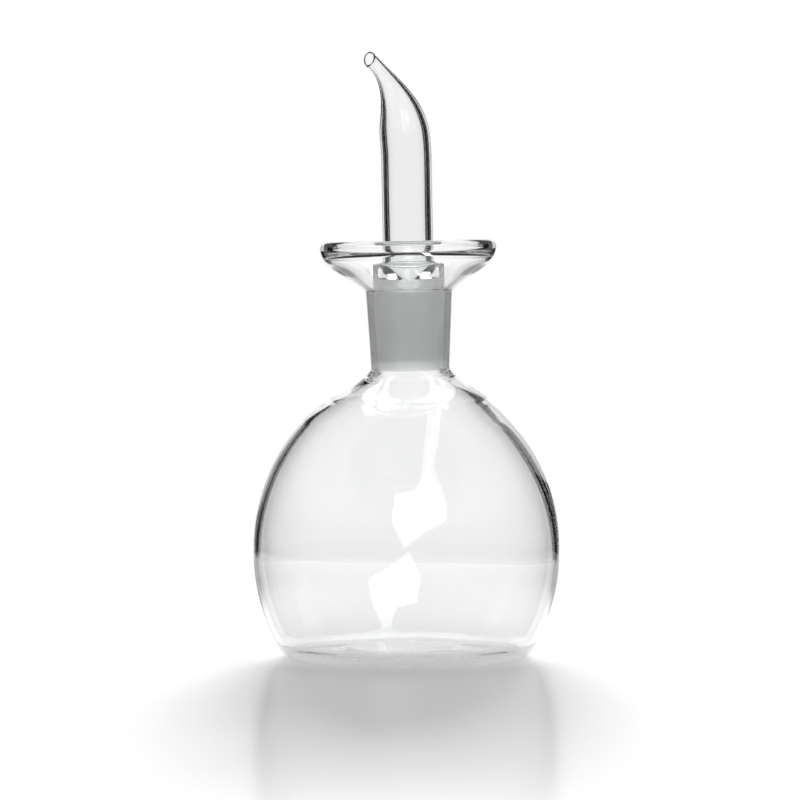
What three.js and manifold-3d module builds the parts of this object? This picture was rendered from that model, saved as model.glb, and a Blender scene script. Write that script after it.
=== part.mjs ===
// Glass cruet: a round bottle with a drip saucer blown round its mouth, and a
// curved pourer whose hollow ground cone stands in the bottle's ground neck.
// Millimetres, +Z up. The origin is on the table under the middle of the bulb,
// and the front, where the pourer's dimple is, faces -Y.
import * as THREE from 'three';
import Module from 'manifold-3d';
import { mergeVertices } from 'three/addons/utils/BufferGeometryUtils.js';

// The bulb is an ellipsoid of even wall, cut flat to stand on a ring.
const bulb = {
  radius: 50,
  halfHeight: 57.3,
  centreZ: 35,
  wall: 1.6,
  footRadius: 37,
  heelZ: 3,
  floorZ: 2.4,
  floorRadius: 35.5,
  innerHeelZ: 6,
};

// Under the middle of the base a shallow disc is pressed up.
const kick = { radius: 19, edgeRadius: 22, rise: 0.9, floorRise: 0.7 };

// The neck widens upwards with the ground joint inside it. Its foot sweeps out
// into the bulb's shoulder, outside and inside.
const neck = {
  footZ: 94.2,
  footRadius: 12.72,
  topZ: 118.9,
  topRadius: 14,
  shoulderRadius: 27,
  shoulderSweep: [[22.5, 87], [13.6, 91.2]],
  innerShoulderRadius: 25.5,
  innerShoulderSweep: [[21.4, 85.8], [11.9, 89.8]],
};

// The ground joint tapers 1 in 10 over its diameter.
const joint = {
  sideTaper: 0.05,
  gap: 0.3,
  coneTopZ: 125.7,
  coneTopRadius: 11.75,
  coneEndZ: 96.4,
  coneWall: 1.8,
  boreTopZ: 119.6,
  boreEndZ: 92.8,
  mouthRadius: 12.6,
  mouthZ: 120.6,
  mouthEdge: 0.4,
  coneEndRound: 1,
};

// The saucer sweeps out from the neck to a round bead at its rim.
const saucer = {
  beadCentreRadius: 26.7,
  beadCentreZ: 133.4,
  beadRadius: 2.1,
  beadFromDeg: -20,
  beadToDeg: 230,
  outerSweep: [[18, 123.2], [28, 126.5]],
  innerTopRadius: 26,
  innerTopZ: 130.8,
  innerSweep: [[25, 127.6], [17, 124.6]],
};

// The pourer's tube stands straight on the cone, then bends over and tapers.
const spout = {
  tubeRadius: 8.25,
  tubeBore: 6.5,
  shoulderZ: 127.3,
  shoulderRadius: 10.3,
  tubeFootZ: 129.4,
  innerShoulderZ: 123.8,
  tubeBoreFootZ: 129.2,
  bendZ: 169,
  taperLength: 26.5,
  tipRadius: 2.45,
  tipBore: 1.8,
  azimuthDeg: 227,
  cutDeg: 17,
  cutLength: 4,
};
const spoutPath = [[0, 0], [1.5, 9.5], [6.4, 19.4], [16.6, 25.2]]; // reach, height

// A dimple in the front of the cone holds the small air and drip hole.
const dimple = { depth: 1.4, halfWidth: 4.2, halfHeight: 2.1, z: 122.6 };
const dimpleRows = [-2, -1.25, -0.75, -0.25, 0.25, 0.75, 1.25]; // in half heights
const pinhole = { radius: 0.7, sides: 10, x: -0.9, z: 123.4, fromY: -14, toY: -5 };

// Neck, saucer and pourer lean a little to one side of the bulb's middle.
const lean = { deg: 1.1, shift: 1.3, pivotZ: 92, startZ: 76 };

// Facets: round each piece, and along each curved stretch of its profile.
const bottleSegments = 60;
const pourerSegments = 40;
const steps = {
  heel: 3, bulb: 14, shoulder: 6, sweep: 7, bead: 8, bowl: 6, edge: 2, tubeFoot: 3, bend: 12,
};
const weldGap = 1e-4;

const wasm = await Module();
wasm.setup();

const at = (r, z) => new THREE.Vector2(r, z);
const boreRadiusAt = (z) => coneRadiusAt(z) + joint.gap;

function coneRadiusAt(z) {
  return joint.coneTopRadius - (joint.coneTopZ - z) * joint.sideTaper;
}

function bendTo(from, control, to, steps) {
  return new THREE.QuadraticBezierCurve(from, control, to).getPoints(steps);
}

function sweepTo(from, controls, to, steps) {
  const [first, second] = controls.map(([r, z]) => at(r, z));
  return new THREE.CubicBezierCurve(from, first, second, to).getPoints(steps);
}

// One profile from its stretches, without the points that two stretches share.
function profileOf(...stretches) {
  const points = stretches.flat();
  return points.filter((p, i) => i === 0 || p.distanceTo(points[i - 1]) > weldGap);
}

// The bulb's outline, or the same outline moved in by the wall.
function bulbOutline(inset) {
  const a = bulb.radius - inset;
  const b = bulb.halfHeight - inset;
  const angleAt = (z) => Math.asin((z - bulb.centreZ) / b);
  const radiusAt = (z) => a * Math.cos(angleAt(z));
  const heightAt = (r) => bulb.centreZ + b * Math.sin(Math.acos(r / a));
  const slopeAt = (z) => (-a / b) * Math.tan(angleAt(z));
  const arc = (fromZ, toZ, steps) => {
    const curve = new THREE.EllipseCurve(
      0, bulb.centreZ, a, b, angleAt(fromZ), angleAt(toZ), toZ < fromZ,
    );
    return curve.getPoints(steps);
  };
  return { radiusAt, heightAt, slopeAt, arc };
}

// The wall from the base to the mouth outside, with a rounded heel and shoulder.
function bottleOutside() {
  const outline = bulbOutline(0);
  const heel = at(outline.radiusAt(bulb.heelZ), bulb.heelZ);
  const heelCorner = at(heel.x - bulb.heelZ * outline.slopeAt(bulb.heelZ), 0);
  const shoulder = at(neck.shoulderRadius, outline.heightAt(neck.shoulderRadius));
  const neckFoot = at(neck.footRadius, neck.footZ);
  return profileOf(
    [at(0, kick.rise), at(kick.radius, kick.rise), at(kick.edgeRadius, 0)],
    bendTo(at(bulb.footRadius, 0), heelCorner, heel, steps.heel),
    outline.arc(bulb.heelZ, shoulder.y, steps.bulb),
    sweepTo(shoulder, neck.shoulderSweep, neckFoot, steps.shoulder),
    [at(neck.topRadius, neck.topZ)],
  );
}

// The saucer's underside, its bead and its bowl, down to the mouth of the bore.
function saucerProfile() {
  const centre = at(saucer.beadCentreRadius, saucer.beadCentreZ);
  const bead = new THREE.EllipseCurve(
    centre.x, centre.y, saucer.beadRadius, saucer.beadRadius,
    THREE.MathUtils.degToRad(saucer.beadFromDeg), THREE.MathUtils.degToRad(saucer.beadToDeg),
  ).getPoints(steps.bead);
  const bowlTop = at(saucer.innerTopRadius, saucer.innerTopZ);
  const mouth = at(joint.mouthRadius, joint.mouthZ);
  const boreTop = at(boreRadiusAt(joint.boreTopZ), joint.boreTopZ);
  return profileOf(
    sweepTo(at(neck.topRadius, neck.topZ), saucer.outerSweep, bead[0], steps.sweep),
    bead,
    sweepTo(bowlTop, saucer.innerSweep, mouth, steps.bowl),
    bendTo(mouth, at(boreTop.x, joint.mouthZ - joint.mouthEdge), boreTop, steps.edge),
  );
}

// The bore, the inside of the bulb and its floor.
function bottleInside() {
  const outline = bulbOutline(bulb.wall);
  const boreEnd = at(boreRadiusAt(joint.boreEndZ), joint.boreEndZ);
  const shoulder = at(neck.innerShoulderRadius, outline.heightAt(neck.innerShoulderRadius));
  const heel = at(outline.radiusAt(bulb.innerHeelZ), bulb.innerHeelZ);
  const fall = bulb.innerHeelZ - bulb.floorZ;
  const heelCorner = at(heel.x - fall * outline.slopeAt(bulb.innerHeelZ), bulb.floorZ);
  const kickFloorZ = bulb.floorZ + kick.floorRise;
  return profileOf(
    sweepTo(shoulder, neck.innerShoulderSweep, boreEnd, steps.shoulder).reverse(),
    outline.arc(shoulder.y, bulb.innerHeelZ, steps.bulb),
    bendTo(heel, heelCorner, at(bulb.floorRadius, bulb.floorZ), steps.heel),
    [at(kick.edgeRadius, bulb.floorZ), at(kick.radius, kickFloorZ), at(0, kickFloorZ)],
  );
}

// The pourer as a straight tube: outside upwards, round the lip, inside down.
function pourerProfile() {
  const length = spoutCurve().getLength();
  const stations = Array.from({ length: steps.bend + 1 }, (_, i) => (length * i) / steps.bend);
  const endZ = joint.coneEndZ;
  const wallFootZ = endZ + joint.coneEndRound;
  const endRadius = coneRadiusAt(wallFootZ);
  const endBore = endRadius - joint.coneWall;
  const endMiddle = at((endBore + endRadius) / 2, endZ);
  const coneTop = at(joint.coneTopRadius, joint.coneTopZ);
  const shoulder = at(spout.shoulderRadius, spout.shoulderZ);
  const tubeFoot = at(spout.tubeRadius, spout.tubeFootZ);
  const boreShoulder = at(coneRadiusAt(spout.innerShoulderZ) - joint.coneWall, spout.innerShoulderZ);
  const boreFoot = at(spout.tubeBore, spout.tubeBoreFootZ);
  const rows = dimpleRows.map((row) => dimple.z + row * dimple.halfHeight);
  const innerRows = rows.filter((z) => z < spout.innerShoulderZ).reverse();
  const lip = (spout.tipRadius - spout.tipBore) / 2;
  return profileOf(
    bendTo(at(endBore, wallFootZ), at(endBore, endZ), endMiddle, steps.edge),
    bendTo(endMiddle, at(endRadius, endZ), at(endRadius, wallFootZ), steps.edge),
    rows.map((z) => at(coneRadiusAt(z), z)),
    bendTo(coneTop, at(coneTop.x, shoulder.y), shoulder, steps.edge),
    bendTo(shoulder, at(tubeFoot.x, shoulder.y), tubeFoot, steps.tubeFoot),
    stations.map((s) => at(taper(s, spout.tubeRadius, spout.tipRadius), spout.bendZ + s)),
    [at(spout.tipRadius - lip, spout.bendZ + length + lip)],
    stations.reverse().map((s) => at(taper(s, spout.tubeBore, spout.tipBore), spout.bendZ + s)),
    bendTo(boreFoot, at(boreFoot.x, (boreFoot.y + boreShoulder.y) / 2), boreShoulder, steps.tubeFoot),
    innerRows.map((z) => at(coneRadiusAt(z) - joint.coneWall, z)),
    [at(endBore, wallFootZ)],
  );
}

function taper(s, tubeSize, tipSize) {
  return THREE.MathUtils.lerp(tubeSize, tipSize, THREE.MathUtils.smoothstep(s, 0, spout.taperLength));
}

// The middle line of the bent stretch, in the plane that the spout bends in.
function spoutCurve() {
  const azimuth = THREE.MathUtils.degToRad(spout.azimuthDeg);
  const points = spoutPath.map(([reach, height]) => new THREE.Vector3(
    reach * Math.cos(azimuth), reach * Math.sin(azimuth), spout.bendZ + height,
  ));
  return new THREE.CubicBezierCurve3(...points);
}

// A profile turned about Z, as a closed mesh with shared vertices.
function turned(profile, segments) {
  const lathe = new THREE.LatheGeometry(profile, segments);
  lathe.rotateX(Math.PI / 2);
  lathe.deleteAttribute('normal');
  lathe.deleteAttribute('uv');
  const merged = mergeVertices(lathe, weldGap);
  const corners = merged.index.array;
  const kept = [];
  for (let i = 0; i < corners.length; i += 3) {
    const [a, b, c] = corners.slice(i, i + 3);
    if (a !== b && b !== c && c !== a) kept.push(a, b, c);
  }
  merged.setIndex(kept);
  return merged;
}

function moveVertices(geometry, move) {
  const position = geometry.getAttribute('position');
  const point = new THREE.Vector3();
  for (let i = 0; i < position.count; i++) {
    point.fromBufferAttribute(position, i);
    move(point);
    position.setXYZ(i, point.x, point.y, point.z);
  }
  return geometry;
}

// Presses the dimple into the cone's front, outside and inside alike.
function pressDimple(point) {
  const reach = Math.hypot(point.x, point.y);
  if (point.y > 0 || point.z > spout.tubeFootZ) return;
  const acrossPart = point.x / dimple.halfWidth;
  const upPart = (point.z - dimple.z) / dimple.halfHeight;
  const depth = dimple.depth * Math.exp(-(acrossPart ** 2) - upPart ** 2);
  const scale = (reach - depth) / reach;
  point.x *= scale;
  point.y *= scale;
}

// Lays the straight tube above the bend along the spout's middle line.
function bendSpout(point) {
  if (point.z <= spout.bendZ) return;
  const spine = spoutCurve();
  const length = spine.getLength();
  const s = point.z - spout.bendZ;
  const u = Math.min(s / length, 1);
  const azimuth = THREE.MathUtils.degToRad(spout.azimuthDeg);
  const tangent = spine.getTangentAt(u);
  const side = new THREE.Vector3(-Math.sin(azimuth), Math.cos(azimuth), 0);
  const inward = new THREE.Vector3().crossVectors(side, tangent);
  const inPlane = point.x * Math.cos(azimuth) + point.y * Math.sin(azimuth);
  const across = point.x * side.x + point.y * side.y;
  const cut = THREE.MathUtils.smoothstep(s, length - spout.cutLength, length);
  const ahead = Math.max(s - length, 0)
    - inPlane * Math.tan(THREE.MathUtils.degToRad(spout.cutDeg)) * cut;
  point.copy(spine.getPointAt(u));
  point.addScaledVector(inward, inPlane);
  point.addScaledVector(side, across);
  point.addScaledVector(tangent, ahead);
}

// Turns what is above the shoulder about the neck's foot, easing in below it.
function leanOver(point) {
  const share = THREE.MathUtils.smoothstep(point.z, lean.startZ, lean.pivotZ);
  const angle = THREE.MathUtils.degToRad(lean.deg);
  const rise = point.z - lean.pivotZ;
  const leantX = point.x * Math.cos(angle) - rise * Math.sin(angle) + lean.shift;
  const leantZ = lean.pivotZ + rise * Math.cos(angle) + point.x * Math.sin(angle);
  point.x = THREE.MathUtils.lerp(point.x, leantX, share);
  point.z = THREE.MathUtils.lerp(point.z, leantZ, share);
}

function toSolid(geometry) {
  return new wasm.Manifold(new wasm.Mesh({
    numProp: 3,
    vertProperties: new Float32Array(geometry.getAttribute('position').array),
    triVerts: new Uint32Array(geometry.index.array),
  }));
}

function toGeometry(solid) {
  const mesh = solid.getMesh();
  const geometry = new THREE.BufferGeometry();
  geometry.setAttribute('position', new THREE.BufferAttribute(mesh.vertProperties, 3));
  geometry.setIndex(new THREE.BufferAttribute(mesh.triVerts, 1));
  return geometry;
}

// The hole runs from the dimple through the cone's wall.
function pinholeTool() {
  const length = pinhole.toY - pinhole.fromY;
  const tool = new THREE.CylinderGeometry(pinhole.radius, pinhole.radius, length, pinhole.sides);
  tool.deleteAttribute('normal');
  tool.deleteAttribute('uv');
  tool.translate(pinhole.x, (pinhole.fromY + pinhole.toY) / 2, pinhole.z);
  return mergeVertices(tool, weldGap);
}

function makeBottle() {
  const profile = profileOf(bottleOutside(), saucerProfile(), bottleInside());
  return moveVertices(turned(profile, bottleSegments), leanOver);
}

function makePourer() {
  const blank = turned(pourerProfile(), pourerSegments);
  moveVertices(blank, pressDimple);
  moveVertices(blank, bendSpout);
  const drilled = toSolid(blank).subtract(toSolid(pinholeTool()));
  return moveVertices(toGeometry(drilled), leanOver);
}

function glassMesh(name, geometry, colour) {
  const material = new THREE.MeshStandardMaterial({
    color: colour, roughness: 0.05, metalness: 0, transparent: true, opacity: 0.35,
  });
  geometry.computeVertexNormals();
  const mesh = new THREE.Mesh(geometry, material);
  mesh.name = name;
  return mesh;
}

const cruet = new THREE.Group();
cruet.add(glassMesh('bottle', makeBottle(), 0xeef4f2));
cruet.add(glassMesh('pourer', makePourer(), 0xf4f6f6));

export default cruet;
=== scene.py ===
import math
import bpy
import bmesh
from mathutils import Matrix, Vector, noise


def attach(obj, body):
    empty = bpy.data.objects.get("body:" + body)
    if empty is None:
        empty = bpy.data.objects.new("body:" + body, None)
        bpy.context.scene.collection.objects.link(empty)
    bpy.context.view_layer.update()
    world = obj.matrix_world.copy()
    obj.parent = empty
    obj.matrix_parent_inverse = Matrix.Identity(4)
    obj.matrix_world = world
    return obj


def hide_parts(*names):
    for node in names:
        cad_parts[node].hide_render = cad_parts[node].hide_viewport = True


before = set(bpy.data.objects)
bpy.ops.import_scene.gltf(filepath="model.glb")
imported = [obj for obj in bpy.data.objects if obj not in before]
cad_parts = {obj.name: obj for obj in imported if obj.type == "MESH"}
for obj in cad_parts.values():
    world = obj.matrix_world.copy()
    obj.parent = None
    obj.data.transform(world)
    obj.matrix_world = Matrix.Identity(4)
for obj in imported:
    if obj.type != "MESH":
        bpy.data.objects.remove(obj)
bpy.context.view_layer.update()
scene = bpy.context.scene
mm = 0.001


def addToScene(name, data):
    added = bpy.data.objects.new(name, data)
    scene.collection.objects.link(added)
    return added


# curves in the profile plane, as (radius, height) in millimetres

def lerp(a, b, t):
    return a + (b - a) * t


def smoothStep(value, low, high):
    t = min(max((value - low) / (high - low), 0.0), 1.0)
    return t * t * (3 - 2 * t)


def quadratic(a, b, c, count):
    points = []
    for i in range(count + 1):
        t = i / count
        points.append(tuple(lerp(lerp(a[k], b[k], t), lerp(b[k], c[k], t), t) for k in (0, 1)))
    return points


def cubic(a, b, c, d, count):
    points = []
    for i in range(count + 1):
        t = i / count
        u = 1 - t
        points.append(tuple(
            u ** 3 * a[k] + 3 * u * u * t * b[k] + 3 * u * t * t * c[k] + t ** 3 * d[k]
            for k in range(len(a))))
    return points


def joined(*stretches):
    points = [p for stretch in stretches for p in stretch]
    kept = [points[0]]
    for p in points[1:]:
        if math.dist(p, kept[-1]) > 1e-4:
            kept.append(p)
    return kept


meltedEdge = dict(leastTurnDeg=14, mostOfSide=0.4, steps=5)


def roundedCorners(points, size, closed=False):
    # every sharp corner of the profile gets the small radius that molten glass takes
    rounded = []
    count = len(points)
    for i, p in enumerate(points):
        if not closed and i in (0, count - 1):
            rounded.append(p)
            continue
        before = Vector(points[i - 1]) - Vector(p)
        after = Vector(points[(i + 1) % count]) - Vector(p)
        turn = math.pi - before.angle(after)
        if turn < math.radians(meltedEdge["leastTurnDeg"]):
            rounded.append(p)
            continue
        reachBefore = min(size, before.length * meltedEdge["mostOfSide"])
        reachAfter = min(size, after.length * meltedEdge["mostOfSide"])
        start = Vector(p) + before.normalized() * reachBefore
        end = Vector(p) + after.normalized() * reachAfter
        rounded.extend(quadratic(tuple(start), p, tuple(end), meltedEdge["steps"]))
    return rounded


def densified(points, longest, closed=False):
    dense = []
    count = len(points)
    for i in range(count if closed else count - 1):
        a = points[i]
        b = points[(i + 1) % count]
        parts = max(1, math.ceil(math.dist(a, b) / longest))
        dense.extend((lerp(a[0], b[0], k / parts), lerp(a[1], b[1], k / parts)) for k in range(parts))
    if not closed:
        dense.append(points[-1])
    return dense


# the ground joint, 1 in 10, which both pieces share

joint = dict(
    sideTaper=0.05, gap=0.3,
    coneTopZ=125.7, coneTopRadius=11.75, coneEndZ=96.4, coneWall=1.8, coneEndRound=1.0,
    boreTopZ=119.6, boreEndZ=92.8, mouthRadius=12.6, mouthZ=120.6, mouthEdge=0.4,
    boreFaceDepth=0.3, coneFaceDepth=0.9,
)


def coneRadiusAt(z):
    return joint["coneTopRadius"] - (joint["coneTopZ"] - z) * joint["sideTaper"]


def boreRadiusAt(z):
    return coneRadiusAt(z) + joint["gap"]


# neck, saucer and pourer lean a little to one side of the bulb's middle

lean = dict(deg=1.1, shift=1.3, pivotZ=92, startZ=76)


def leanOver(x, y, z):
    share = smoothStep(z, lean["startZ"], lean["pivotZ"])
    angle = math.radians(lean["deg"])
    rise = z - lean["pivotZ"]
    leantX = x * math.cos(angle) - rise * math.sin(angle) + lean["shift"]
    leantZ = lean["pivotZ"] + rise * math.cos(angle) + x * math.sin(angle)
    return lerp(x, leantX, share), y, lerp(z, leantZ, share)


# the two finishes of the glass, clear and ground

clearFinish = dict(
    ior=1.47, waveSize=55.0, waveDetail=1.5,
    cordShare=0.15, cordSize=210.0, cordDetail=2.0, cordStretch=0.22,
    tintLow=(0.975, 0.985, 0.98, 1), tintHigh=(0.995, 0.998, 0.996, 1),
    bumpStrength=0.04, bumpDistance=0.0004,
)
groundFinish = dict(
    ior=1.47, colour=(0.93, 0.94, 0.935, 1), transmission=0.84, low=0.78, high=0.86,
    grainSize=2600.0, grainDetail=3.0, markShare=0.35, markSize=60.0, markDetail=2.0, markTurns=26.0,
    singleShare=0.8, singleBelow=0.2, singleAbove=0.4, bumpStrength=0.15, bumpDistance=0.0001,
)


def newGroup(name, inputs, outputs):
    group = bpy.data.node_groups.new(name, "ShaderNodeTree")
    for label, kind, value in inputs:
        socket = group.interface.new_socket(label, in_out="INPUT", socket_type=kind)
        socket.default_value = value
    for label, kind in outputs:
        group.interface.new_socket(label, in_out="OUTPUT", socket_type=kind)
    return group, group.nodes.new("NodeGroupInput"), group.nodes.new("NodeGroupOutput")


def link(tree, source, target):
    tree.links.new(source, target)


def makeRippleGroup():
    # slow waves that the blowing leaves in a wall, with a few fine cords in them
    group, given, out = newGroup(
        "glassRipple",
        [("Wave Size", "NodeSocketFloat", 60.0), ("Cord Share", "NodeSocketFloat", 0.2)],
        [("Height", "NodeSocketFloat"), ("Tint", "NodeSocketColor")],
    )
    place = group.nodes.new("ShaderNodeTexCoord")
    wave = group.nodes.new("ShaderNodeTexNoise")
    wave.inputs["Detail"].default_value = clearFinish["waveDetail"]
    cordStretch = group.nodes.new("ShaderNodeMapping")
    cordStretch.inputs["Scale"].default_value = (1.0, 1.0, clearFinish["cordStretch"])
    cord = group.nodes.new("ShaderNodeTexNoise")
    cord.inputs["Scale"].default_value = clearFinish["cordSize"]
    cord.inputs["Detail"].default_value = clearFinish["cordDetail"]
    mixed = group.nodes.new("ShaderNodeMix")
    tint = group.nodes.new("ShaderNodeValToRGB")
    tint.color_ramp.elements[0].color = clearFinish["tintLow"]
    tint.color_ramp.elements[1].color = clearFinish["tintHigh"]
    link(group, place.outputs["Object"], wave.inputs["Vector"])
    link(group, given.outputs["Wave Size"], wave.inputs["Scale"])
    link(group, place.outputs["Object"], cordStretch.inputs["Vector"])
    link(group, cordStretch.outputs["Vector"], cord.inputs["Vector"])
    link(group, given.outputs["Cord Share"], mixed.inputs[0])
    link(group, wave.outputs["Fac"], mixed.inputs[2])
    link(group, cord.outputs["Fac"], mixed.inputs[3])
    link(group, wave.outputs["Fac"], tint.inputs["Fac"])
    link(group, mixed.outputs[0], out.inputs["Height"])
    link(group, tint.outputs["Color"], out.inputs["Tint"])
    return group


def makeGrainGroup():
    # the fine pitted grain of a ground face, with the marks of the turning tool
    group, given, out = newGroup(
        "grindGrain",
        [("Grain Size", "NodeSocketFloat", groundFinish["grainSize"]),
         ("Low", "NodeSocketFloat", 0.4), ("High", "NodeSocketFloat", 0.5)],
        [("Height", "NodeSocketFloat"), ("Roughness", "NodeSocketFloat")],
    )
    place = group.nodes.new("ShaderNodeTexCoord")
    grain = group.nodes.new("ShaderNodeTexNoise")
    grain.inputs["Detail"].default_value = groundFinish["grainDetail"]
    turns = group.nodes.new("ShaderNodeMapping")
    turns.inputs["Scale"].default_value = (1.0, 1.0, groundFinish["markTurns"])
    marks = group.nodes.new("ShaderNodeTexNoise")
    marks.inputs["Scale"].default_value = groundFinish["markSize"]
    marks.inputs["Detail"].default_value = groundFinish["markDetail"]
    height = group.nodes.new("ShaderNodeMix")
    height.inputs[0].default_value = groundFinish["markShare"]
    spread = group.nodes.new("ShaderNodeMapRange")
    link(group, place.outputs["Object"], grain.inputs["Vector"])
    link(group, given.outputs["Grain Size"], grain.inputs["Scale"])
    link(group, place.outputs["Object"], turns.inputs["Vector"])
    link(group, turns.outputs["Vector"], marks.inputs["Vector"])
    link(group, grain.outputs["Fac"], height.inputs[2])
    link(group, marks.outputs["Fac"], height.inputs[3])
    link(group, marks.outputs["Fac"], spread.inputs["Value"])
    link(group, given.outputs["Low"], spread.inputs["To Min"])
    link(group, given.outputs["High"], spread.inputs["To Max"])
    link(group, height.outputs[0], out.inputs["Height"])
    link(group, spread.outputs["Result"], out.inputs["Roughness"])
    return group


rippleGroup = makeRippleGroup()
grainGroup = makeGrainGroup()


def placeGroup(tree, group, **values):
    node = tree.nodes.new("ShaderNodeGroup")
    node.node_tree = group
    for label, value in values.items():
        node.inputs[label].default_value = value
    return node


def newGlass(name, ior):
    material = bpy.data.materials.new(name)
    material.use_nodes = True
    shader = material.node_tree.nodes["Principled BSDF"]
    shader.inputs["IOR"].default_value = ior
    shader.inputs["Metallic"].default_value = 0.0
    shader.inputs["Transmission Weight"].default_value = 1.0
    shader.inputs["Roughness"].default_value = 0.0
    return material, material.node_tree, shader


def addBump(tree, shader, height, strength, distance):
    bump = tree.nodes.new("ShaderNodeBump")
    bump.inputs["Strength"].default_value = strength
    bump.inputs["Distance"].default_value = distance
    link(tree, height, bump.inputs["Height"])
    link(tree, bump.outputs["Normal"], shader.inputs["Normal"])


def makeClearGlass():
    material, tree, shader = newGlass("clearGlass", clearFinish["ior"])
    ripple = placeGroup(tree, rippleGroup, **{
        "Wave Size": clearFinish["waveSize"], "Cord Share": clearFinish["cordShare"]})
    link(tree, ripple.outputs["Tint"], shader.inputs["Base Color"])
    addBump(
        tree, shader, ripple.outputs["Height"], clearFinish["bumpStrength"], clearFinish["bumpDistance"])
    return material


def makeGroundGlass():
    material, tree, shader = newGlass("groundGlass", groundFinish["ior"])
    grain = placeGroup(tree, grainGroup, Low=groundFinish["low"], High=groundFinish["high"])
    shader.inputs["Base Color"].default_value = groundFinish["colour"]
    shader.inputs["Transmission Weight"].default_value = groundFinish["transmission"]
    # below the cone's end, where only the bore is ground, the glass looks a little clearer
    place = tree.nodes.new("ShaderNodeTexCoord")
    parts = tree.nodes.new("ShaderNodeSeparateXYZ")
    single = tree.nodes.new("ShaderNodeMapRange")
    single.inputs["From Min"].default_value = (joint["coneEndZ"] - groundFinish["singleBelow"]) * mm
    single.inputs["From Max"].default_value = (joint["coneEndZ"] + groundFinish["singleAbove"]) * mm
    single.inputs["To Min"].default_value = groundFinish["singleShare"]
    single.inputs["To Max"].default_value = 1.0
    finish = tree.nodes.new("ShaderNodeMath")
    finish.operation = "MULTIPLY"
    link(tree, place.outputs["Object"], parts.inputs["Vector"])
    link(tree, parts.outputs["Z"], single.inputs["Value"])
    link(tree, grain.outputs["Roughness"], finish.inputs[0])
    link(tree, single.outputs["Result"], finish.inputs[1])
    link(tree, finish.outputs[0], shader.inputs["Roughness"])
    addBump(
        tree, shader, grain.outputs["Height"], groundFinish["bumpStrength"], groundFinish["bumpDistance"])
    return material


clearGlass = makeClearGlass()
groundGlass = makeGroundGlass()
print("clear and ground glass made")


# a profile turned into a piece of glass

def turnedPiece(name, rows, segments, closed, shape, isGround):
    # shape moves a turned point to its place, isGround tells the ground faces
    mesh = bpy.data.meshes.new(name)
    vertices = []
    straight = []
    rings = []
    for radius, z in rows:
        if radius < 1e-6:
            rings.append([len(vertices)])
            straight.append((0.0, 0.0, z))
            vertices.append(shape(0.0, 0.0, z))
            continue
        ring = []
        for i in range(segments):
            angle = 2 * math.pi * i / segments
            x = radius * math.cos(angle)
            y = radius * math.sin(angle)
            ring.append(len(vertices))
            straight.append((x, y, z))
            vertices.append(shape(x, y, z))
        rings.append(ring)
    faces = []
    for i in range(len(rings) if closed else len(rings) - 1):
        low = rings[i]
        high = rings[(i + 1) % len(rings)]
        for k in range(segments):
            nextK = (k + 1) % segments
            if len(low) == 1:
                faces.append((low[0], high[nextK], high[k]))
            elif len(high) == 1:
                faces.append((low[k], low[nextK], high[0]))
            else:
                faces.append((low[k], low[nextK], high[nextK], high[k]))
    mesh.from_pydata([Vector(v) * mm for v in vertices], [], faces)
    mesh.materials.append(clearGlass)
    mesh.materials.append(groundGlass)
    for polygon, corners in zip(mesh.polygons, faces):
        middle = [sum(straight[c][k] for c in corners) / len(corners) for k in (0, 1, 2)]
        polygon.material_index = 1 if isGround(*middle) else 0
        polygon.use_smooth = True
    return addToScene(name, mesh)


def faceOutwards(piece):
    work = bmesh.new()
    work.from_mesh(piece.data)
    bmesh.ops.recalc_face_normals(work, faces=work.faces)
    if work.calc_volume(signed=True) < 0:
        bmesh.ops.reverse_faces(work, faces=work.faces)
    work.to_mesh(piece.data)
    work.free()


# the bottle: bulb, base, shoulder, neck and saucer in one wall

bottle = dict(
    segments=180, longestStep=1.1, corner=0.3, heelSteps=14, bulbSteps=110, sweepSteps=40, mouthSteps=8,
    bulbRadius=49.95, bulbHalfHeight=57.3, bulbCentreZ=35, wall=1.6,
    footRadius=37, heelZ=3, floorZ=2.4, floorRadius=35.5, innerHeelZ=6,
    kickRadius=19, kickEdge=22, kickRise=0.9, kickFloorRise=0.7,
    neckFoot=(12.72, 94.2), neckTop=(14, 118.9), shoulderRadius=27,
    shoulderSweep=((22.5, 87), (13.6, 91.2)),
    innerShoulderRadius=25.5, innerShoulderSweep=((21.4, 85.8), (11.9, 89.8)),
    beadCentre=(26.7, 133.4), beadRadius=2.1, beadFromDeg=-20, beadToDeg=230,
    outerSweep=((18, 123.2), (28, 126.5)),
    bowlTop=(26, 130.8), bowlSweep=((25, 127.6), (17, 124.6)),
    ringCentreX=-4.0, ringRadii=(18.6, 16.8, 15.0), ringHeight=0.16, ringWidth=0.45, ringReach=30,
    baseTopZ=1.2, fineFrom=9, fineTo=26, fineStep=0.22,
    waveHeight=0.07, waveLength=30.0, insideShift=57,
    waveFromZ=(3, 14), waveEndZ=(84, 92), waveFromReach=(2, 10),
    thickerRight=1.5, thickerLeft=0.75, thickerPower=1.5,
    thickerFromZ=30, rightFullZ=80, leftFullZ=88, thickerEndZ=(80, 94),
)


def bulbOutline(inset):
    a = bottle["bulbRadius"] - inset
    b = bottle["bulbHalfHeight"] - inset
    centreZ = bottle["bulbCentreZ"]

    def angleAt(z):
        return math.asin((z - centreZ) / b)

    def radiusAt(z):
        return a * math.cos(angleAt(z))

    def heightAt(radius):
        return centreZ + b * math.sin(math.acos(radius / a))

    def slopeAt(z):
        return -a / b * math.tan(angleAt(z))

    def arc(fromZ, toZ, count):
        start, end = angleAt(fromZ), angleAt(toZ)
        angles = [lerp(start, end, i / count) for i in range(count + 1)]
        return [(a * math.cos(t), centreZ + b * math.sin(t)) for t in angles]

    return radiusAt, heightAt, slopeAt, arc


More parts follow.
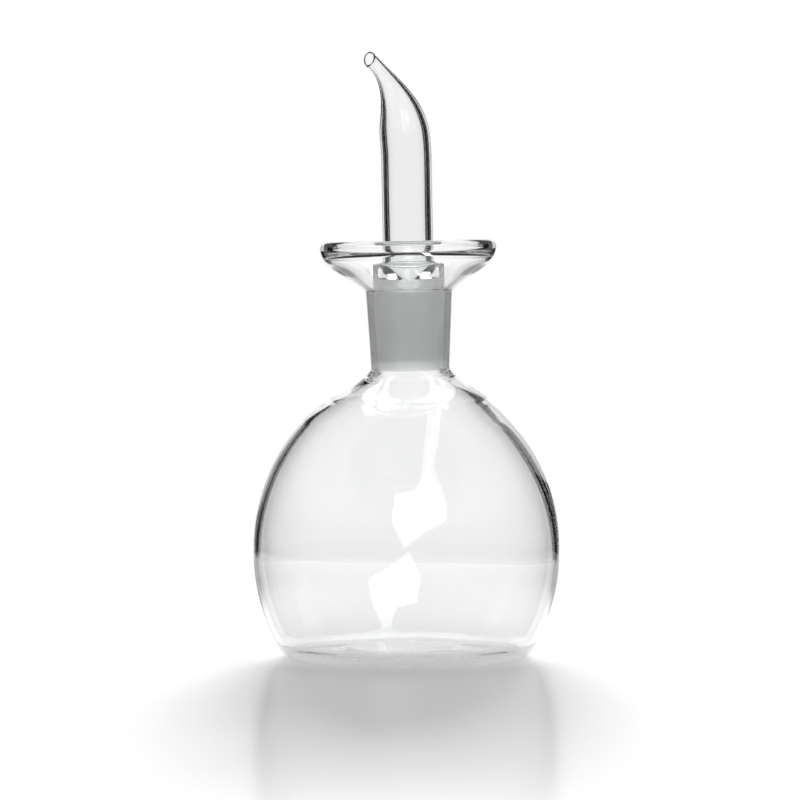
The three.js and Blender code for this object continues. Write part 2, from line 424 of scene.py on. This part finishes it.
def bottleProfile():
    p = bottle
    radiusAt, heightAt, slopeAt, arc = bulbOutline(0)
    heel = (radiusAt(p["heelZ"]), p["heelZ"])
    heelCorner = (heel[0] - p["heelZ"] * slopeAt(p["heelZ"]), 0)
    shoulder = (p["shoulderRadius"], heightAt(p["shoulderRadius"]))
    outside = joined(
        [(0, p["kickRise"]), (p["kickRadius"], p["kickRise"]), (p["kickEdge"], 0)],
        quadratic((p["footRadius"], 0), heelCorner, heel, p["heelSteps"]),
        arc(heel[1], shoulder[1], p["bulbSteps"]),
        cubic(shoulder, *p["shoulderSweep"], p["neckFoot"], p["sweepSteps"]),
        [p["neckTop"]],
    )
    centre, radius = p["beadCentre"], p["beadRadius"]
    steps = p["sweepSteps"]
    beadAngles = [math.radians(lerp(p["beadFromDeg"], p["beadToDeg"], i / steps)) for i in range(steps + 1)]
    bead = [(centre[0] + radius * math.cos(t), centre[1] + radius * math.sin(t)) for t in beadAngles]
    mouth = (joint["mouthRadius"], joint["mouthZ"])
    boreTop = (boreRadiusAt(joint["boreTopZ"]), joint["boreTopZ"])
    saucer = joined(
        cubic(p["neckTop"], *p["outerSweep"], bead[0], steps),
        bead,
        cubic(p["bowlTop"], *p["bowlSweep"], mouth, steps),
        quadratic(mouth, (boreTop[0], joint["mouthZ"] - joint["mouthEdge"]), boreTop, p["mouthSteps"]),
    )
    radiusAt, heightAt, slopeAt, arc = bulbOutline(p["wall"])
    boreEnd = (boreRadiusAt(joint["boreEndZ"]), joint["boreEndZ"])
    shoulder = (p["innerShoulderRadius"], heightAt(p["innerShoulderRadius"]))
    heel = (radiusAt(p["innerHeelZ"]), p["innerHeelZ"])
    fall = p["innerHeelZ"] - p["floorZ"]
    heelCorner = (heel[0] - fall * slopeAt(p["innerHeelZ"]), p["floorZ"])
    kickFloorZ = p["floorZ"] + p["kickFloorRise"]
    inside = joined(
        cubic(boreEnd, p["innerShoulderSweep"][1], p["innerShoulderSweep"][0], shoulder, steps),
        arc(shoulder[1], heel[1], p["bulbSteps"]),
        quadratic(heel, heelCorner, (p["floorRadius"], p["floorZ"]), p["heelSteps"]),
        [(p["kickEdge"], p["floorZ"]), (p["kickRadius"], kickFloorZ), (0, kickFloorZ)],
    )
    corners = roundedCorners(joined(outside, saucer, inside), p["corner"])
    return densified(corners, p["longestStep"])


def thickerBy(amount, towards, z, fullZ):
    # how far the inner face stands in, from 0 at the middle to the full amount at one side
    p = bottle
    return amount * max(0.0, towards) ** p["thickerPower"] * smoothStep(z, p["thickerFromZ"], fullZ)


def wallWave(x, y, z):
    # the wall's slow unevenness, a different one inside and outside
    p = bottle
    reach = math.hypot(x, y)
    fade = smoothStep(z, *p["waveFromZ"]) * (1 - smoothStep(z, *p["waveEndZ"])) * smoothStep(
        reach, *p["waveFromReach"])
    if fade <= 0:
        return 0.0
    outside = outsideWall(reach, z)
    point = Vector((x, y, z + (0 if outside else p["insideShift"]))) / p["waveLength"]
    wave = fade * p["waveHeight"] * noise.noise(point)
    if outside:
        return wave
    across = x / reach
    onRight = thickerBy(p["thickerRight"], across, z, p["rightFullZ"])
    onLeft = thickerBy(p["thickerLeft"], -across, z, p["leftFullZ"])
    return wave - (onRight + onLeft) * (1 - smoothStep(z, *p["thickerEndZ"]))


def outsideWall(reach, z):
    p = bottle
    share = (z - p["bulbCentreZ"]) / p["bulbHalfHeight"]
    outline = p["bulbRadius"] * math.sqrt(max(0.0, 1 - share * share))
    return reach > outline - p["wall"] / 2


def shapeBottle(x, y, z):
    p = bottle
    reach = math.hypot(x, y)
    if reach > 0:
        scale = (reach + wallWave(x, y, z)) / reach
        x, y = x * scale, y * scale
    if z < p["baseTopZ"] and reach < p["ringReach"]:  # fine rings pressed in the base, off its middle
        fromRing = math.hypot(x - p["ringCentreX"], y)
        for ringRadius in p["ringRadii"]:
            z += p["ringHeight"] * math.exp(-((fromRing - ringRadius) / p["ringWidth"]) ** 2)
    return leanOver(x, y, z)


def bottleIsGround(x, y, z):
    reach = math.hypot(x, y)
    return joint["boreEndZ"] < z < joint["boreTopZ"] and reach < boreRadiusAt(z) + joint["boreFaceDepth"]


def baseRows(rows):
    # the flat base needs rows close enough together to carry its rings
    p = bottle
    fine = []
    for (r0, z0), (r1, z1) in zip(rows, rows[1:]):
        inBase = max(z0, z1) < p["baseTopZ"] and p["fineFrom"] < max(r0, r1) < p["fineTo"]
        parts = max(1, math.ceil(abs(r1 - r0) / p["fineStep"])) if inBase else 1
        fine.extend((lerp(r0, r1, k / parts), lerp(z0, z1, k / parts)) for k in range(parts))
    fine.append(rows[-1])
    return fine


bottleGlass = turnedPiece(
    "bottleGlass", baseRows(bottleProfile()), bottle["segments"], False, shapeBottle, bottleIsGround)
faceOutwards(bottleGlass)
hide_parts("bottle")
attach(bottleGlass, "root")
print("bottle made:", len(bottleGlass.data.polygons), "faces")


# the pourer: a hollow ground cone, its tube and the bent spout in one wall

pourer = dict(
    segments=128, longestStep=0.9, corner=0.25, endSteps=6, shoulderSteps=10,
    tubeRadius=8.25, tubeBore=6.5, shoulderZ=127.3, shoulderRadius=10.3, tubeFootZ=129.4,
    innerShoulderZ=123.8, tubeBoreFootZ=129.2, bendZ=169, taperLength=26.5,
    tipRadius=2.45, tipBore=1.8, azimuthDeg=227, cutDeg=17, cutLength=4,
    path=((0, 0), (1.5, 9.5), (6.4, 19.4), (16.6, 25.2)), pathSteps=600, spoutSteps=60,
    easing=7, easingSteps=240, smoothReach=45, groundTopZ=123.6, groundFromEnd=0.6,
    dimpleDepth=1.4, dimpleHalfWidth=4.2, dimpleHalfHeight=2.1, dimpleZ=122.6,
    dimpleClear=0.9, holeRadius=0.7, holeX=-0.9, holeZ=123.4, holeFromY=-14, holeToY=-5,
    holeSegments=32, sharpDeg=40,
    waveHeight=0.035, waveLength=14.0, waveStretch=0.6, waveFromZ=(130, 138),
    insideShift=41, insideDepth=0.8,
)


def smoothed(line):
    # the mean of the points round each one, with fewer of them towards both ends
    count = len(line)
    kept = []
    for i in range(count):
        reach = min(i, count - 1 - i, pourer["smoothReach"])
        near = line[i - reach:i + reach + 1]
        kept.append(sum(near, Vector((0, 0, 0))) / len(near))
    return kept


def spoutSpine():
    azimuth = math.radians(pourer["azimuthDeg"])
    points = [
        (reach * math.cos(azimuth), reach * math.sin(azimuth), pourer["bendZ"] + height)
        for reach, height in pourer["path"]]
    bent = cubic(*points, pourer["pathSteps"])
    easedCount = next(i for i, p in enumerate(bent) if math.dist(p, points[0]) > pourer["easing"])
    low = (0, 0, pourer["bendZ"] - pourer["easing"])
    steps = pourer["easingSteps"]
    eased = [
        tuple(lerp(lerp(a, b, t), lerp(b, c, t), t) for a, b, c in zip(low, points[0], bent[easedCount]))
        for t in [i / steps for i in range(steps)]]
    line = smoothed(smoothed([Vector(p) for p in eased + bent[easedCount:]]))
    lengths = [0.0]
    for a, b in zip(line, line[1:]):
        lengths.append(lengths[-1] + (b - a).length)
    return line, lengths


spineLine, spineLengths = spoutSpine()
spineLength = spineLengths[-1]


def spineAt(distance):
    # the point and direction of the spout's middle line at that distance
    low, high = 0, len(spineLengths) - 1
    while high - low > 1:
        middle = (low + high) // 2
        if spineLengths[middle] <= distance:
            low = middle
        else:
            high = middle
    part = (distance - spineLengths[low]) / (spineLengths[high] - spineLengths[low])
    before = spineLine[max(low - 1, 0)]
    after = spineLine[min(high + 1, len(spineLine) - 1)]
    return spineLine[low].lerp(spineLine[high], part), (after - before).normalized()


bendStartZ = pourer["bendZ"] - pourer["easing"]


def taperAt(s, tubeSize, tipSize):
    return lerp(tubeSize, tipSize, smoothStep(s - pourer["easing"], 0, pourer["taperLength"]))


def pourerProfile():
    p = pourer
    endZ = joint["coneEndZ"]
    wallFootZ = endZ + joint["coneEndRound"]
    endRadius = coneRadiusAt(wallFootZ)
    endBore = endRadius - joint["coneWall"]
    endMiddle = ((endBore + endRadius) / 2, endZ)
    coneTop = (joint["coneTopRadius"], joint["coneTopZ"])
    shoulder = (p["shoulderRadius"], p["shoulderZ"])
    tubeFoot = (p["tubeRadius"], p["tubeFootZ"])
    boreShoulder = (coneRadiusAt(p["innerShoulderZ"]) - joint["coneWall"], p["innerShoulderZ"])
    boreFoot = (p["tubeBore"], p["tubeBoreFootZ"])
    stations = [spineLength * i / p["spoutSteps"] for i in range(p["spoutSteps"] + 1)]
    lip = (p["tipRadius"] - p["tipBore"]) / 2
    profile = joined(
        quadratic((endBore, wallFootZ), (endBore, endZ), endMiddle, p["endSteps"]),
        quadratic(endMiddle, (endRadius, endZ), (endRadius, wallFootZ), p["endSteps"]),
        quadratic(coneTop, (coneTop[0], shoulder[1]), shoulder, p["shoulderSteps"]),
        quadratic(shoulder, (tubeFoot[0], shoulder[1]), tubeFoot, p["shoulderSteps"]),
        [(taperAt(s, p["tubeRadius"], p["tipRadius"]), bendStartZ + s) for s in stations],
        [(p["tipRadius"] - lip, bendStartZ + spineLength + lip)],
        [(taperAt(s, p["tubeBore"], p["tipBore"]), bendStartZ + s) for s in reversed(stations)],
        quadratic(
            boreFoot, (boreFoot[0], (boreFoot[1] + boreShoulder[1]) / 2), boreShoulder, p["shoulderSteps"]),
    )
    corners = roundedCorners(profile, p["corner"], closed=True)
    return densified(corners, p["longestStep"], closed=True)


def shapePourer(x, y, z):
    p = pourer
    reach = math.hypot(x, y)
    if y <= 0 and z <= p["tubeFootZ"]:  # the dimple's dent, outside and inside alike
        acrossPart = x / p["dimpleHalfWidth"]
        upPart = (z - p["dimpleZ"]) / p["dimpleHalfHeight"]
        depth = p["dimpleDepth"] * math.exp(-acrossPart ** 2 - upPart ** 2)
        x, y = x * (reach - depth) / reach, y * (reach - depth) / reach
    fade = smoothStep(z, *p["waveFromZ"])
    inside = reach < p["tubeBore"] + p["insideDepth"]
    place = Vector((x, y, z * p["waveStretch"] + (p["insideShift"] if inside else 0))) / p["waveLength"]
    wave = fade * p["waveHeight"] * noise.noise(place)
    x, y = x * (reach + wave) / reach, y * (reach + wave) / reach
    if z > bendStartZ:
        azimuth = math.radians(p["azimuthDeg"])
        s = z - bendStartZ
        point, tangent = spineAt(min(s, spineLength))
        side = Vector((-math.sin(azimuth), math.cos(azimuth), 0))
        inward = side.cross(tangent)
        inPlane = x * math.cos(azimuth) + y * math.sin(azimuth)
        across = x * side.x + y * side.y
        cut = smoothStep(s, spineLength - p["cutLength"], spineLength)
        ahead = max(s - spineLength, 0) - inPlane * math.tan(math.radians(p["cutDeg"])) * cut
        x, y, z = point + inward * inPlane + side * across + tangent * ahead
    return x, y, z


def pourerIsGround(x, y, z):
    p = pourer
    if not joint["coneEndZ"] + p["groundFromEnd"] < z < p["groundTopZ"]:
        return False
    if math.hypot(x, y) < coneRadiusAt(z) - joint["coneFaceDepth"]:
        return False
    fromDimple = (x / p["dimpleHalfWidth"]) ** 2 + ((z - p["dimpleZ"]) / p["dimpleHalfHeight"]) ** 2
    return not (fromDimple < p["dimpleClear"] and y < 0)


def drillHole(piece):
    p = pourer
    length = (p["holeToY"] - p["holeFromY"]) * mm
    radius = p["holeRadius"] * mm
    middle = (p["holeX"] * mm, (p["holeFromY"] + p["holeToY"]) / 2 * mm, p["holeZ"] * mm)
    work = bmesh.new()
    bmesh.ops.create_cone(
        work, cap_ends=True, segments=p["holeSegments"], radius1=radius, radius2=radius, depth=length,
        matrix=Matrix.Translation(middle) @ Matrix.Rotation(math.pi / 2, 4, "X"))
    drillMesh = bpy.data.meshes.new("drill")
    work.to_mesh(drillMesh)
    work.free()
    drill = addToScene("drill", drillMesh)
    cut = piece.modifiers.new("hole", "BOOLEAN")
    cut.operation = "DIFFERENCE"
    cut.solver = "EXACT"
    cut.object = drill
    bpy.context.view_layer.update()
    drilled = bpy.data.meshes.new_from_object(piece.evaluated_get(bpy.context.evaluated_depsgraph_get()))
    piece.modifiers.remove(cut)
    piece.data = drilled
    drilled.name = piece.name
    drilled.shade_smooth()
    drilled.set_sharp_from_angle(angle=math.radians(p["sharpDeg"]))
    bpy.data.objects.remove(drill)


pourerGlass = turnedPiece(
    "pourerGlass", pourerProfile(), pourer["segments"], True, shapePourer, pourerIsGround)
faceOutwards(pourerGlass)
drillHole(pourerGlass)
for vertex in pourerGlass.data.vertices:  # the hole is drilled before the cone leans in the neck
    vertex.co = Vector(leanOver(*(vertex.co / mm))) * mm
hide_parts("pourer")
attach(pourerGlass, "root")
print("pourer made:", len(pourerGlass.data.polygons), "faces")


# a wide white table with a blurred gloss, painted shade and a painted pool of light round the object's
# foot, and a low soft light behind it

table = dict(
    halfWidth=0.46, front=-0.62, back=0.41, clothLight=0.8, glow=0.2,
    # painted shadow: an oval in front of the object where the table's cloth, glow and gloss are darker
    paintedShadowLow=0.77, paintedShadowCentre=-0.13, paintedShadowHalfWidth=0.115, paintedShadowHalfLength=0.35,
    # painted pool of light: extra glow on the table round the object's foot, standing in for light that
    # passes through the glass
    paintedCausticGlow=0.14, paintedCausticReach=(0.036, 0.06),
    roughness=0.2, glossLow=0.03, glossHigh=0.46, glossFrom=0.45, glossFull=0.95,
    # painted shade: how much of the table's light is kept where it is seen mirrored in the glass, near and
    # far from the foot, and where it is seen through the glass
    mirroredNear=1.0, mirroredFar=0.4, mirroredReach=(0.055, 0.2), throughShare=0.9,
)
lowLight = dict(azimuthDeg=2.0, elevationDeg=14.0, spreadDeg=24.0, strength=10.0)


def linkMath(tree, operation, first, second):
    node = tree.nodes.new("ShaderNodeMath")
    node.operation = operation
    for socket, value in zip(node.inputs, (first, second)):
        if isinstance(value, (int, float)):
            socket.default_value = value
        else:
            link(tree, value, socket)
    return node.outputs[0]


def mirroredOnTheWay(tree):
    # 1 for light that has been mirrored in sharp glass on its way
    path = tree.nodes.new("ShaderNodeLightPath")
    mirroredBefore = linkMath(tree, "GREATER_THAN", path.outputs["Glossy Depth"], 0.5)
    sharp = linkMath(tree, "MAXIMUM", path.outputs["Is Singular Ray"], path.outputs["Is Transmission Ray"])
    return linkMath(tree, "MULTIPLY", mirroredBefore, sharp)


def overReach(tree, reach, near, far, atNear, atFar):
    # a value that goes smoothly from atNear to atFar with a distance
    change = tree.nodes.new("ShaderNodeMapRange")
    change.interpolation_type = "SMOOTHERSTEP"
    for label, value in (("From Min", near), ("From Max", far), ("To Min", atNear), ("To Max", atFar)):
        change.inputs[label].default_value = value
    link(tree, reach, change.inputs["Value"])
    return change.outputs["Result"]


def lengthOf(tree, vector):
    node = tree.nodes.new("ShaderNodeVectorMath")
    node.operation = "LENGTH"
    link(tree, vector, node.inputs[0])
    return node.outputs["Value"]


def bareMaterial(name):
    material = bpy.data.materials.new(name)
    material.use_nodes = True
    material.node_tree.nodes.clear()
    return material, material.node_tree, material.node_tree.nodes.new("ShaderNodeOutputMaterial")


def makeTable():
    mesh = bpy.data.meshes.new("tableTop")
    side, front, back = table["halfWidth"], table["front"], table["back"]
    corners = [(-side, front, 0), (side, front, 0), (side, back, 0), (-side, back, 0)]
    mesh.from_pydata(corners, [], [(0, 1, 2, 3)])
    top = addToScene("tableTop", mesh)
    material, tree, out = bareMaterial("whiteTable")
    cloth = tree.nodes.new("ShaderNodeBsdfDiffuse")
    glow = tree.nodes.new("ShaderNodeEmission")
    both = tree.nodes.new("ShaderNodeAddShader")
    gloss = tree.nodes.new("ShaderNodeBsdfGlossy")
    gloss.inputs["Roughness"].default_value = table["roughness"]
    facing = tree.nodes.new("ShaderNodeLayerWeight")
    share = tree.nodes.new("ShaderNodeMapRange")
    share.interpolation_type = "SMOOTHSTEP"
    share.inputs["From Min"].default_value = table["glossFrom"]
    share.inputs["From Max"].default_value = table["glossFull"]
    share.inputs["To Min"].default_value = table["glossLow"]
    share.inputs["To Max"].default_value = table["glossHigh"]
    mixed = tree.nodes.new("ShaderNodeMixShader")
    paintedShadeMix = tree.nodes.new("ShaderNodeMixShader")
    place = tree.nodes.new("ShaderNodeTexCoord")
    reach = lengthOf(tree, place.outputs["Object"])
    # painted shadow: the table's colour, glow and gloss go darker in an oval in front of the object
    paintedShadowOval = tree.nodes.new("ShaderNodeMapping")
    paintedShadowOval.inputs["Scale"].default_value = (1 / table["paintedShadowHalfWidth"], 1 / table["paintedShadowHalfLength"], 1)
    paintedShadowOval.inputs["Location"].default_value = (0, -table["paintedShadowCentre"] / table["paintedShadowHalfLength"], 0)
    link(tree, place.outputs["Object"], paintedShadowOval.inputs["Vector"])
    paintedShadow = overReach(tree, lengthOf(tree, paintedShadowOval.outputs["Vector"]), 0.0, 1.0, table["paintedShadowLow"], 1.0)
    # painted pool of light: the table glows more round the object's foot
    paintedCausticLight = overReach(tree, reach, *table["paintedCausticReach"], table["paintedCausticGlow"], 0.0)
    mirroredShare = overReach(
        tree, reach, *table["mirroredReach"], table["mirroredNear"], table["mirroredFar"])
    link(tree, linkMath(tree, "MULTIPLY", paintedShadow, table["clothLight"]), cloth.inputs["Color"])
    glowStrength = linkMath(tree, "ADD", paintedCausticLight, linkMath(tree, "MULTIPLY", paintedShadow, table["glow"]))
    link(tree, glowStrength, glow.inputs["Strength"])
    link(tree, paintedShadow, gloss.inputs["Color"])
    link(tree, facing.outputs["Facing"], share.inputs["Value"])
    link(tree, share.outputs["Result"], mixed.inputs["Fac"])
    link(tree, cloth.outputs["BSDF"], both.inputs[0])
    link(tree, glow.outputs["Emission"], both.inputs[1])
    link(tree, both.outputs["Shader"], mixed.inputs[1])
    link(tree, gloss.outputs["BSDF"], mixed.inputs[2])
    # painted shade: the table is made darker where it is seen mirrored in the glass away from the foot, and
    # a little darker where it is seen through the glass
    path = tree.nodes.new("ShaderNodeLightPath")
    mirrored = mirroredOnTheWay(tree)
    notMirrored = linkMath(tree, "SUBTRACT", 1.0, mirrored)
    through = linkMath(tree, "MULTIPLY", path.outputs["Is Transmission Ray"], notMirrored)
    mirroredPaintedShade = linkMath(tree, "MULTIPLY", mirrored, linkMath(tree, "SUBTRACT", 1.0, mirroredShare))
    throughPaintedShade = linkMath(tree, "MULTIPLY", through, 1 - table["throughShare"])
    link(tree, linkMath(tree, "ADD", mirroredPaintedShade, throughPaintedShade), paintedShadeMix.inputs["Fac"])
    link(tree, mixed.outputs["Shader"], paintedShadeMix.inputs[1])
    link(tree, paintedShadeMix.outputs["Shader"], out.inputs["Surface"])
    mesh.materials.append(material)


def makeLowLight():
    # a broad light from behind that only the table's white takes, so the shadow falls to the front
    lamp = bpy.data.lights.new("lowLight", "SUN")
    lamp.energy = lowLight["strength"]
    lamp.angle = math.radians(lowLight["spreadDeg"])
    lampObject = addToScene("lowLight", lamp)
    azimuth = math.radians(lowLight["azimuthDeg"])
    elevation = math.radians(lowLight["elevationDeg"])
    level = math.cos(elevation)
    towards = Vector((math.sin(azimuth) * level, math.cos(azimuth) * level, math.sin(elevation)))
    lampObject.rotation_euler = towards.to_track_quat("Z", "Y").to_euler()
    lampObject.visible_glossy = False
    lampObject.visible_transmission = False


makeTable()
makeLowLight()


# white screens at the table's four sides, each lit on its inner face, in a dark room

room = dict(
    screenDistance=0.41, screenHalfWidth=0.15, screenHeight=0.6, centreLight=1.0, edgeLight=0.9,
    evenPart=0.25, dark=0.008, ambient=0.08,
)


def newEmitter(name):
    material, tree, out = bareMaterial(name)
    light = tree.nodes.new("ShaderNodeEmission")
    hole = tree.nodes.new("ShaderNodeBsdfTransparent")
    side = tree.nodes.new("ShaderNodeNewGeometry")
    oneSided = tree.nodes.new("ShaderNodeMixShader")
    link(tree, side.outputs["Backfacing"], oneSided.inputs["Fac"])
    link(tree, light.outputs["Emission"], oneSided.inputs[1])
    link(tree, hole.outputs["BSDF"], oneSided.inputs[2])
    link(tree, oneSided.outputs["Shader"], out.inputs["Surface"])
    material.cycles.emission_sampling = "NONE"
    return material, tree, light, oneSided.inputs["Fac"]


def addStageMesh(name, corners, faces, material):
    mesh = bpy.data.meshes.new(name)
    mesh.from_pydata(corners, [], faces)
    mesh.materials.append(material)
    sheet = addToScene(name, mesh)
    sheet.visible_camera = False
    sheet.visible_shadow = False
    return sheet


def blurredRay(tree):
    # 1 for light on its way into the table's blurred gloss
    path = tree.nodes.new("ShaderNodeLightPath")
    notSharp = linkMath(tree, "SUBTRACT", 1.0, path.outputs["Is Singular Ray"])
    return linkMath(tree, "MULTIPLY", path.outputs["Is Glossy Ray"], notSharp)


def shadeAcross(tree, light):
    # the screens are brightest in their middle and fall off towards both sides
    place = tree.nodes.new("ShaderNodeTexCoord")
    parts = tree.nodes.new("ShaderNodeSeparateXYZ")
    fall = tree.nodes.new("ShaderNodeMapRange")
    fall.interpolation_type = "SMOOTHSTEP"
    fall.inputs["From Min"].default_value = room["screenHalfWidth"] * room["evenPart"]
    fall.inputs["From Max"].default_value = room["screenHalfWidth"]
    fall.inputs["To Min"].default_value = room["centreLight"]
    fall.inputs["To Max"].default_value = room["edgeLight"]
    link(tree, place.outputs["Object"], parts.inputs["Vector"])
    link(tree, linkMath(tree, "ABSOLUTE", parts.outputs["X"], 0.0), fall.inputs["Value"])
    strength = linkMath(tree, "MAXIMUM", fall.outputs["Result"], blurredRay(tree))
    link(tree, strength, light.inputs["Strength"])


def makeScreens():
    r = room
    for name, turn in (("Back", 0), ("Left", 90), ("Front", 180), ("Right", 270)):
        material, tree, light, hole = newEmitter("screen" + name)
        shadeAcross(tree, light)
        if name != "Back":  # mirrored light meets only the screen behind
            link(tree, linkMath(tree, "MAXIMUM", hole.links[0].from_socket, mirroredOnTheWay(tree)), hole)
        corners = [
            (across * r["screenHalfWidth"], r["screenDistance"], height * r["screenHeight"])
            for across, height in ((-1, 0), (1, 0), (1, 1), (-1, 1))]
        screen = addStageMesh("screen" + name, corners, [(0, 1, 2, 3)], material)
        screen.rotation_euler = (0, 0, math.radians(turn))


def makeRoom():
    # white straight behind the object and in the table's gloss, dark for sharp glass
    world = bpy.data.worlds.new("room")
    scene.world = world
    world.use_nodes = True
    world.cycles.sampling_method = "NONE"
    tree = world.node_tree
    tree.nodes.clear()
    out = tree.nodes.new("ShaderNodeOutputWorld")
    sky = tree.nodes.new("ShaderNodeBackground")
    sky.inputs["Color"].default_value = (1, 1, 1, 1)
    path = tree.nodes.new("ShaderNodeLightPath")
    white = linkMath(tree, "MAXIMUM", path.outputs["Is Camera Ray"], blurredRay(tree))
    soft = linkMath(tree, "MULTIPLY", path.outputs["Is Diffuse Ray"], room["ambient"])
    strength = linkMath(tree, "MAXIMUM", white, linkMath(tree, "MAXIMUM", soft, room["dark"]))
    link(tree, strength, sky.inputs["Strength"])
    link(tree, sky.outputs["Background"], out.inputs["Surface"])


makeScreens()
makeRoom()


# a softbox above the camera with a thin gap of light running from it over the top

softbox = dict(
    centre=(0, 0, 0.045), distance=5.0, strength=2.4,
    # corners on a dome, as (azimuth, elevation) in degrees seen from the centre
    front=((-10.1, 34.1), (8.4, 36.6), (31.3, 41.3), (33.6, 32.5), (32.9, 20.5),
           (30.8, 17.8), (13.8, 11.8), (-1.9, 2.9), (-4.1, 6.3), (-12.0, 17.5)),
    gapLeft=((8.4, 36.6), (16.2, 43.8), (20.7, 51.4), (34.4, 64.5),
             (77.6, 74.4), (117.9, 72.8), (147.8, 63.6)),
    gapRight=((31.3, 41.3), (31.0, 45.0), (30.7, 50.5), (48.1, 62.3),
              (87.6, 70.2), (119.3, 68.5), (146.0, 60.1)),
    overhead=((-0.30, 0.17, 0.8), (-0.34, 0.74, 0.8), (0.38, 0.74, 0.8), (0.30, 0.17, 0.8)),
)


def onDome(azimuthDeg, elevationDeg):
    azimuth, elevation = math.radians(azimuthDeg), math.radians(elevationDeg)
    level = math.cos(elevation)
    direction = Vector((math.sin(azimuth) * level, -math.cos(azimuth) * level, math.sin(elevation)))
    return Vector(softbox["centre"]) + direction * softbox["distance"]


def makeSoftbox():
    s = softbox
    material, _, light, _ = newEmitter("softboxCloth")
    light.inputs["Strength"].default_value = s["strength"]
    corners = [onDome(*corner) for corner in s["front"]]
    faces = [tuple(range(len(corners)))]
    first = len(corners)
    for left, right in zip(s["gapLeft"], s["gapRight"]):
        corners += [onDome(*left), onDome(*right)]
    for k in range(first, len(corners) - 2, 2):
        faces.append((k, k + 2, k + 3, k + 1))
    addStageMesh("softboxFront", corners, faces, material)
    overhead = addStageMesh("softboxOverhead", s["overhead"], [(0, 1, 2, 3)], material)
    overhead.visible_diffuse = False


makeSoftbox()


# the camera stands where the photograph was taken from

camera = dict(
    place=(-2.117, -1365.0, 132.6), pitchDeg=2.05, focalPixels=4193.7, frameWidth=800, sensorWidth=36.0,
    clipStart=0.05, clipEnd=20.0,
)

cameraData = bpy.data.cameras.new("camera")
cameraData.sensor_width = camera["sensorWidth"]
cameraData.lens = camera["focalPixels"] / camera["frameWidth"] * camera["sensorWidth"]
cameraData.clip_start = camera["clipStart"]
cameraData.clip_end = camera["clipEnd"]
cameraObject = addToScene("camera", cameraData)
cameraObject.location = Vector(camera["place"]) * mm
cameraObject.rotation_euler = (math.radians(90 - camera["pitchDeg"]), 0, 0)
scene.camera = cameraObject

scene.view_settings.view_transform = "Standard"
scene.view_settings.look = "None"
scene.cycles.max_bounces = 40
scene.cycles.transmission_bounces = 40
scene.cycles.glossy_bounces = 16
scene.cycles.diffuse_bounces = 3
scene.cycles.transparent_max_bounces = 16
scene.cycles.sample_clamp_indirect = 6.0
scene.cycles.use_denoising = True
print("stage, room and camera made")
